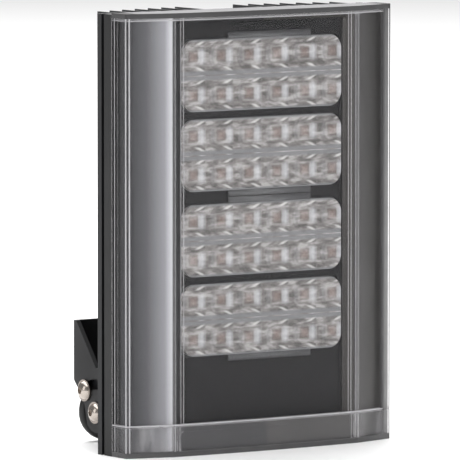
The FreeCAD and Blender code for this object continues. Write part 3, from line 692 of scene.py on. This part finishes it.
@dataclass
class Lenses:
    """The four moulded lens arrays and the sheet before them, in millimetres from the ridge plane."""

    width: float = 122.0
    shift_x: float = 0.5
    height: float = 45.5
    corner: float = 9.0
    front: float = 6.4
    thick: float = 2.6
    pitch_x: float = 21.4
    pitch_z: float = 24.5
    columns: int = 6
    step: float = 0.7
    sunk: float = 0.35
    bowl_radius: float = 9.2
    bowl_depth: float = 0.9
    bowl_stretch: float = 0.86
    dome_radius: float = 3.8
    dome_height: float = 0.7
    ripple: float = 0.12
    ripple_rate: float = 2.4
    tab_left: float = -25.0
    tab_right: float = 38.0
    tab_height: float = 4.0
    tab_root: float = 1.0
    tab_front: float = 0.4
    tab_back: float = 1.6
    tab_cell: float = TAB.place
    map_span: float = 100.0
    emitter_shift: float = 1.6
    stroke_start: float = 5.0
    stroke_level: float = 8.3
    stroke_slope: float = 1.8
    stroke_zone: Point = (8.5, 0.9, 1.2)
    glint_zone: Point = (0.0, 2.8, 3.4)
    roughness: float = 0.3
    streak_scale: float = 330.0
    streak_stretch: Point = (0.32, 1.0, 1.0)
    streak_turn: Point = (0.0, 0.35, 0.0)
    streak_bump: float = 0.25
    streak_depth: float = 0.4
    centres: tuple[float, ...] = (239.35, 188.95, 134.95, 84.55)

    def cell(self, x: float, z: float) -> tuple[float, float]:
        """Gives a point's place from the nearest lens centre.

        Args:
            x: across, from the array's middle.
            z: up, from the array's middle.

        Returns:
            The two distances, in millimetres.
        """
        half = (self.columns - 1) / 2
        column = min(max(round(x / self.pitch_x + half), 0), self.columns - 1)
        row = 0.5 if z > 0 else -0.5
        return x - (column - half) * self.pitch_x, z - row * self.pitch_z

    def relief(self, x: float, z: float) -> float:
        """Gives how far the surface lies behind the array's front face.

        Args:
            x: across, from the array's middle.
            z: up, from the array's middle.

        Returns:
            The depth in millimetres.
        """
        u, v = self.cell(x, z)
        r = math.hypot(u, v * self.bowl_stretch)
        bowl = self.bowl_depth * max(0.0, 1 - (r / self.bowl_radius) ** 2)
        dome = self.dome_height * max(0.0, 1 - (r / self.dome_radius) ** 2)
        ripple = self.ripple * math.cos(r * self.ripple_rate) if r < self.bowl_radius else 0.0
        return self.sunk + bowl - dome + ripple

    def inside(self, x: float, z: float) -> tuple[float, float]:
        """Pulls a grid point onto the array's rounded outline.

        Args:
            x: across, from the array's middle.
            z: up, from the array's middle.

        Returns:
            The point on or within the outline.
        """
        reach_x, reach_z = self.width / 2 - self.corner, self.height / 2 - self.corner
        past_x, past_z = max(0.0, abs(x) - reach_x), max(0.0, abs(z) - reach_z)
        past = math.hypot(past_x, past_z)
        if past <= self.corner or not (past_x and past_z):
            return x, z
        pull = self.corner / past
        return math.copysign(reach_x + past_x * pull, x), math.copysign(reach_z + past_z * pull, z)

    def add_tab(self, number: int, points: list, faces: list, spots: list) -> None:
        """Adds the array's low tab, above on the odd ones and below on the even ones.

        Args:
            number: the array's number from the top.
            points: the mesh's corners so far.
            faces: its faces so far.
            spots: each corner's place in its cell.
        """
        up = 1 if number % 2 else -1
        base = len(points)
        near, far = self.height / 2 - self.tab_root, self.height / 2 + self.tab_height
        outline = ((self.tab_left, near), (self.tab_right, near), (self.tab_right, far), (self.tab_left, far))
        for y in (self.front + self.tab_front, self.front + self.tab_back):
            for x, z in outline:
                points.append(shifted(x, y, self.centres[number - 1] + up * z))
                spots.append((self.tab_cell, self.tab_cell))
        quads = ((0, 1, 2, 3), (7, 6, 5, 4), (1, 0, 4, 5), (2, 1, 5, 6), (3, 2, 6, 7), (0, 3, 7, 4))
        faces += [tuple(base + k for k in (quad if up > 0 else quad[::-1])) for quad in quads]

    def add_plate(self, number: int, points: list, faces: list, spots: list) -> None:
        """Adds the array's plate, with its cells in front, its sides and its flat back.

        Args:
            number: the array's number from the top.
            points: the mesh's corners so far, still empty.
            faces: its faces so far.
            spots: each corner's place in its cell.
        """
        across, up = int(self.width / self.step), int(self.height / self.step)
        for j in range(up + 1):
            for i in range(across + 1):
                x, z = self.inside(self.width * (i / across - 0.5), self.height * (j / up - 0.5))
                at_rim = i in (0, across) or j in (0, up)
                deep = 0.0 if at_rim else self.relief(x, z)
                points.append(shifted(x + self.shift_x, self.front + deep, self.centres[number - 1] + z))
                spots.append(self.cell(x + self.shift_x, z))
        row = across + 1
        for j in range(up):
            for i in range(across):
                a = j * row + i
                faces.append((a, a + 1, a + row + 1, a + row))
        rim = list(range(row)) + [j * row + across for j in range(1, up + 1)]
        rim += [up * row + i for i in range(across - 1, -1, -1)] + [j * row for j in range(up - 1, 0, -1)]
        back, count = len(points), len(rim)
        for k, a in enumerate(rim):
            x, _, z = points[a]
            points.append((x, (self.front + self.thick) * MM + RIDGE_Y, z))
            spots.append(spots[a])
            n = (k + 1) % count
            faces.append((rim[n], a, back + k, back + n))
        faces.append(tuple(range(back, back + count)))

    def mesh(self, number: int) -> bpy.types.Object:
        """Makes one array with its moulded lens cells.

        Args:
            number: the array's number from the top.

        Returns:
            The array.
        """
        points, faces, spots = [], [], []
        self.add_plate(number, points, faces, spots)
        self.add_tab(number, points, faces, spots)
        made = solid(f"lens_cells_{number}", points, faces)
        layer = made.data.uv_layers.new(name="cell")
        for loop in made.data.loops:
            u, v = spots[loop.vertex_index]
            layer.data[loop.index].uv = (u / self.map_span + 0.5, v / self.map_span + 0.5)
        for face in made.data.polygons:
            face.use_smooth = len(face.vertices) == 4
        made.data.update()
        return made

    def finish(self) -> bpy.types.Material:
        """Makes the lenses' look: pale, with a pinkish emitter in each, painted reflection strokes and
        painted glints, smeared sideways by the sheet.

        Returns:
            The material.
        """
        made, tree, shader = new_material("moulded_lens")
        calc = ShaderMath(tree)
        shader.inputs["Roughness"].default_value = self.roughness
        cell_map = tree.nodes.new("ShaderNodeUVMap")
        cell_map.uv_map = "cell"
        x, z, _ = calc.axes(cell_map.outputs["UV"])
        x = calc.times(calc.less(x, 0.5), self.map_span)
        z = calc.size(calc.times(calc.less(z, 0.5), self.map_span))
        where = tree.nodes.new("ShaderNodeTexCoord").outputs["Object"]
        where = stretched(tree, where, self.streak_stretch, self.streak_turn)
        streak = add_noise(tree, where, self.streak_scale, BROAD_DETAIL)
        color = ramp(tree, streak, STREAKS)
        for mask, tint in self.tints(calc, x, z):
            color = calc.mix(calc.times(mask, tint.share), color, tint.color)
        tree.links.new(color, shader.inputs["Base Color"])
        add_bump(tree, streak, self.streak_bump, self.streak_depth * MM, shader)
        return made

    def tints(self, calc: ShaderMath, x: Socket, z: Socket) -> list[tuple[Socket, Tint]]:
        """Places the tints in a cell, in millimetres from its middle.

        Args:
            calc: the material's arithmetic.
            x: across, from the cell's middle.
            z: distance above or below the cell's middle.

        Returns:
            Where each tint shows, and the tint.
        """
        moved = calc.less(x, self.emitter_shift)
        slope = calc.times(calc.less(z, self.stroke_level), self.stroke_slope)
        stroke = calc.less(calc.less(moved, self.stroke_start), slope)
        ends = calc.line(z, *self.stroke_zone)
        middle = calc.line(z, *self.glint_zone)
        square = calc.most(calc.size(moved), z)
        # The strokes are painted reflections of the horn's flat sides, and the glints are painted highlights
        rows = (
            (BRIGHT_STROKE_REFLECTION, stroke, ends), (DARK_STROKE_REFLECTION, stroke, ends), (FAR_STROKE_REFLECTION, stroke, ends),
            (PACKAGE, square, 1.0), (CHIP, square, 1.0), (CHIP_BORDER, square, 1.0),
            (RIGHT_GLINT, moved, middle), (LEFT_GLINT, moved, middle),
            (LEDGE, z, 1.0), (TAB, calc.size(x), 1.0),
        )
        made = []
        for tint, along, within in rows:
            made.append((calc.times(calc.line(along, tint.place, tint.half, tint.fade), within), tint))
        return made

    def build(self, frame: dict) -> list[bpy.types.Object]:
        """Dresses the arrays and the sheet.

        Args:
            frame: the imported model.

        Returns:
            The pieces made.
        """
        look = self.finish()
        made = []
        for number in range(1, len(self.centres) + 1):
            piece = self.mesh(number)
            piece.data.materials.append(look)
            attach(piece, "head")
            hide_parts(f"lens_array_{number}")
            made.append(piece)
        dress(frame["nodes"]["lens_sheet"], LENS_SHEET.build())
        return made


def dress(piece: bpy.types.Object, look: bpy.types.Material) -> None:
    """Gives a piece one material.

    Args:
        piece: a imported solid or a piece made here.
        look: the material.
    """
    if not piece.data.materials:
        piece.data.materials.append(look)
    for place in piece.material_slots:
        place.material = look


def solid(name: str, points: list[Point], faces: list[tuple[int, ...]]) -> bpy.types.Object:
    """Makes a mesh object.

    Args:
        name: its name.
        points: its corners, in the row frame.
        faces: its faces.

    Returns:
        The object.
    """
    data = bpy.data.meshes.new(name)
    data.from_pydata(points, [], faces)
    data.update()
    made = bpy.data.objects.new(name, data)
    bpy.context.collection.objects.link(made)
    return made


def round_wire(name: str, places: list[Point], radius: float) -> bpy.types.Object:
    """Makes a round wire along a smooth curve.

    Args:
        name: its name.
        places: the curve's control points, in the row frame.
        radius: the wire's radius, in metres.

    Returns:
        The wire.
    """
    data = bpy.data.curves.new(name, "CURVE")
    data.dimensions = "3D"
    line = data.splines.new("NURBS")
    line.points.add(len(places) - 1)
    for point, place in zip(line.points, places):
        point.co = (*place, 1.0)
    line.order_u = 3
    line.use_endpoint_u = True
    data.bevel_depth = radius
    data.use_fill_caps = True
    wire = bpy.data.objects.new(name, data)
    bpy.context.collection.objects.link(wire)
    return wire


def rounded_ring(inner: float, outer: float, low: float, high: float, corner: float) -> list[Span]:
    """Gives the points of a rounded rectangle.

    Args:
        inner: its least first value.
        outer: its greatest first value.
        low: its least second value.
        high: its greatest second value.
        corner: radius of its corners.

    Returns:
        The points in order.
    """
    ring = []
    middles = ((outer - corner, high - corner), (inner + corner, high - corner),
               (inner + corner, low + corner), (outer - corner, low + corner))
    for quarter, (x, z) in enumerate(middles):
        for k in range(4):
            a = math.radians(90 * quarter + 30 * k)
            ring.append((x + corner * math.cos(a), z + corner * math.sin(a)))
    return ring


@dataclass
class PowerLead:
    """The rubber lead from its gland to the coil on the floor behind, in millimetres from the ridge plane."""

    diameter: float = 6.0
    start: Point = (0.0, 61.0, 40.0)
    way: tuple[Point, ...] = (
        (-1, 74, 40), (-11, 89, 40), (-28, 96, 40), (-45, 98, 39), (-61, 100, 38),
        (-71.5, 103, 27.8), (-71.5, 104.5, 13.3), (-61, 104, 3.1), (-42, 104.5, 3.1),
        (-14, 110, 3.1), (20, 114, 3.1), (44, 113.5, 3.1),
    )
    coil_x: float = 74.0
    coil_y: float = 152.0
    coil_start: float = -112.0
    layers: tuple[Point, ...] = ((42.0, 24.0, 3.1), (27.0, 39.0, 8.6), (41.0, 25.0, 13.9))
    turns: float = 3.3
    a_turn: int = 20
    bend_steps: int = 4
    round_steps: int = 3
    tie_turns: tuple[float, ...] = (25.0, 205.0)
    tie_inner: float = 20.6
    tie_outer: float = 45.4
    tie_low: float = 0.2
    tie_high: float = 17.6
    tie_corner: float = 3.0
    tie_half: float = 1.7
    tie_thick: float = 0.7
    tie_floor: float = 0.05
    wire_apart: float = 1.3
    wire_radius: float = 0.9
    wire_start: float = -2.0
    wire_step: float = 5.0
    wire_spread: float = 0.8

    def points(self) -> list[Point]:
        """Gives the lead's control points, its coil's turns included.

        Returns:
            The points in the row frame.
        """
        made = [self.start, *self.way]
        angle = math.radians(self.coil_start)
        steps = int(self.turns * self.a_turn)
        for first, last, level in self.layers:
            for k in range(steps + 1):
                radius = first + (last - first) * k / steps
                out, along = radius * math.cos(angle), radius * math.sin(angle)
                made.append((self.coil_x + out, self.coil_y + along, level))
                angle += 2 * math.pi / self.a_turn
        return [shifted(*place) for place in made]

    def tie(self, name: str, turn: float) -> bpy.types.Object:
        """Makes a nylon tie around the coil's bundle.

        Args:
            name: the tie's name.
            turn: its angle around the coil, in degrees.

        Returns:
            The tie.
        """
        a = math.radians(turn)
        out, along = (math.cos(a), math.sin(a)), (-math.sin(a), math.cos(a))
        ring = rounded_ring(self.tie_inner, self.tie_outer, self.tie_low, self.tie_high, self.tie_corner)
        mid_r, mid_z = (self.tie_inner + self.tie_outer) / 2, (self.tie_low + self.tie_high) / 2
        points, faces = [], []
        for lift in (0.0, self.tie_thick):
            for side in (-self.tie_half, self.tie_half):
                for r, z in ring:
                    grow = 1 + lift / math.hypot(r - mid_r, z - mid_z)
                    far = mid_r + (r - mid_r) * grow
                    points.append(shifted(
                        self.coil_x + out[0] * far + along[0] * side,
                        self.coil_y + out[1] * far + along[1] * side,
                        max(self.tie_floor, mid_z + (z - mid_z) * grow),
                    ))
        n = len(ring)
        for k in range(n):
            m = (k + 1) % n
            faces.append((k, m, n + m, n + k))
            faces.append((2 * n + m, 2 * n + k, 3 * n + k, 3 * n + m))
            faces.append((m, k, 2 * n + k, 2 * n + m))
            faces.append((n + k, n + m, 3 * n + m, 3 * n + k))
        return solid(name, points, faces)

    def tails(self, end: Point, before: Point) -> list[bpy.types.Object]:
        """Makes the two stripped wires at the lead's end.

        Args:
            end: where the lead stops.
            before: the point just before it.

        Returns:
            The two wires.
        """
        made = []
        way = [(e - b) / math.dist(end, before) for e, b in zip(end, before)]
        copper = FINISHES["copper_tail"].build()
        for number, offset in enumerate((-self.wire_apart, self.wire_apart), 1):
            places = []
            for k in range(4):
                ahead = (self.wire_start + self.wire_step * k) * MM
                apart = offset * (1 + self.wire_spread * max(0, k - 1)) * MM
                x = end[0] + way[0] * ahead - way[1] * apart
                y = end[1] + way[1] * ahead + way[0] * apart
                places.append((x, y, end[2]))
            wire = round_wire(f"lead_wire_{number}", places, self.wire_radius * MM)
            dress(wire, copper)
            made.append(wire)
        return made

    def build(self) -> list[bpy.types.Object]:
        """Makes the lead, its two ties and its bare tails.

        Returns:
            The lead and the pieces on it.
        """
        places = self.points()
        lead = round_wire("power_lead", places, self.diameter / 2 * MM)
        lead.data.splines[0].resolution_u = self.bend_steps
        lead.data.bevel_resolution = self.round_steps
        dress(lead, FINISHES["cord_rubber"].build())
        nylon = FINISHES["tie_nylon"].build()
        on_it = [self.tie(f"lead_tie_{number}", turn) for number, turn in enumerate(self.tie_turns, 1)]
        for piece in on_it:
            dress(piece, nylon)
        on_it += self.tails(places[-1], places[-2])
        for piece in (lead, *on_it):
            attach(piece, "head")
        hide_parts("cord", "cord_coil")
        return [lead, *on_it]


@dataclass(frozen=True)
class SoftLight:
    """A soft light that faces the part: its direction in degrees, distance and size in metres, and watts."""

    name: str
    bearing: float
    rise: float
    away: float
    size: tuple[float, float]
    power: float

    def build(self) -> None:
        """Adds the light, its bearing measured from straight ahead of the front, towards +X."""
        data = bpy.data.lights.new(self.name, "AREA")
        data.shape = "RECTANGLE"
        data.size, data.size_y = self.size
        data.energy = self.power
        lamp = bpy.data.objects.new(self.name, data)
        bpy.context.collection.objects.link(lamp)
        turn, rise = math.radians(self.bearing), math.radians(self.rise)
        level = self.away * math.cos(rise)
        up = HEIGHT / 2 * MM + self.away * math.sin(rise)
        lamp.location = (level * math.sin(turn), -level * math.cos(turn), up)
        lamp.rotation_euler = (math.pi / 2 - rise, 0.0, turn)


@dataclass
class Studio:
    """The pale floor, the soft lights and the camera."""

    azimuth: float = 34.5
    elevation: float = 5.02
    distance: float = 5.057
    lens: float = 624.9
    sensor: float = 36.0
    clip_end: float = 50.0
    aim: Point = (-19.68, 13.4, 140.15)
    floor_half: float = 8.0
    floor_color: Point = (0.9, 0.9, 0.9)
    floor_roughness: float = 0.6
    background: float = 0.3
    lights: tuple[SoftLight, ...] = (
        SoftLight("front_softbox", -2.0, 20.0, 2.6, (0.9, 1.4), 20.0),
        SoftLight("overhead", -10.0, 84.0, 3.0, (4.0, 4.0), 120.0),
        SoftLight("rear_top", 160.0, 52.0, 4.5, (4.0, 4.0), 240.0),
        SoftLight("left_fill", -82.0, 20.0, 2.4, (1.0, 1.6), 8.0),
    )

    def camera(self) -> None:
        """Places the camera where the photo was taken."""
        data = bpy.data.cameras.new("camera")
        data.sensor_width = self.sensor
        data.lens = self.lens
        data.clip_end = self.clip_end
        eye = bpy.data.objects.new("camera", data)
        bpy.context.collection.objects.link(eye)
        rise, turn = math.radians(self.elevation), math.radians(self.azimuth)
        x, y, z = shifted(*self.aim)
        level, up = self.distance * math.cos(rise), self.distance * math.sin(rise)
        eye.location = (x - level * math.sin(turn), y - level * math.cos(turn), z + up)
        eye.rotation_euler = (math.pi / 2 - rise, 0.0, -turn)
        bpy.context.scene.camera = eye

    def floor(self) -> None:
        """Adds the pale floor."""
        far = self.floor_half
        corners = [(-far, -far, 0), (far, -far, 0), (far, far, 0), (-far, far, 0)]
        floor = solid("floor", corners, [(0, 1, 2, 3)])
        paint, _, shader = new_material("floor_paint")
        shader.inputs["Base Color"].default_value = (*self.floor_color, 1.0)
        shader.inputs["Roughness"].default_value = self.floor_roughness
        dress(floor, paint)

    def build(self) -> None:
        """Sets floor, lights, background and camera."""
        self.floor()
        self.camera()
        for light in self.lights:
            light.build()
        world = bpy.context.scene.world or bpy.data.worlds.new("world")
        bpy.context.scene.world = world
        world.use_nodes = True
        back = world.node_tree.nodes["Background"]
        back.inputs["Color"].default_value = (1.0, 1.0, 1.0, 1.0)
        back.inputs["Strength"].default_value = self.background
        bpy.context.scene.view_settings.view_transform = "Standard"


class Illuminator:
    """The whole part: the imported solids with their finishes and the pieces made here."""

    def __init__(self, frame: dict) -> None:
        """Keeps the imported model.
        """
        self.frame = frame

    def finish_solids(self) -> None:
        """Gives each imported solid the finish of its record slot."""
        made = {name: finish.build() for name, finish in FINISHES.items()}
        made["clear_cover"] = FRONT_COVER.build()
        made["satin_grey"] = SatinBezel().build()
        slots = {part["node"]: part["material_slot"] for part in self.frame["record"]["subparts"]}
        for name, piece in self.frame["nodes"].items():
            look = made.get(slots[name])
            if look:
                dress(piece, look)
        dress(self.frame["nodes"]["bottom_cover"], BOTTOM_COVER.build())
        for name in ("pivot_washers", "lock_washers"):
            dress(self.frame["nodes"][name], made["washer_steel"])

    def build(self) -> list[bpy.types.Object]:
        """Dresses the solids and adds the lenses and the lead.

        Returns:
            The pieces made here.
        """
        self.finish_solids()
        return Lenses().build(self.frame) + PowerLead().build()


def main() -> None:
    """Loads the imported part, dresses it and sets the studio."""
    logging.basicConfig(level=logging.INFO)
    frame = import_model()
    for piece in Illuminator(frame).build():
        LOG.info("made %s", piece.name)
    Studio().build()
    bpy.context.view_layer.update()


if __name__ == "__main__":
    main()
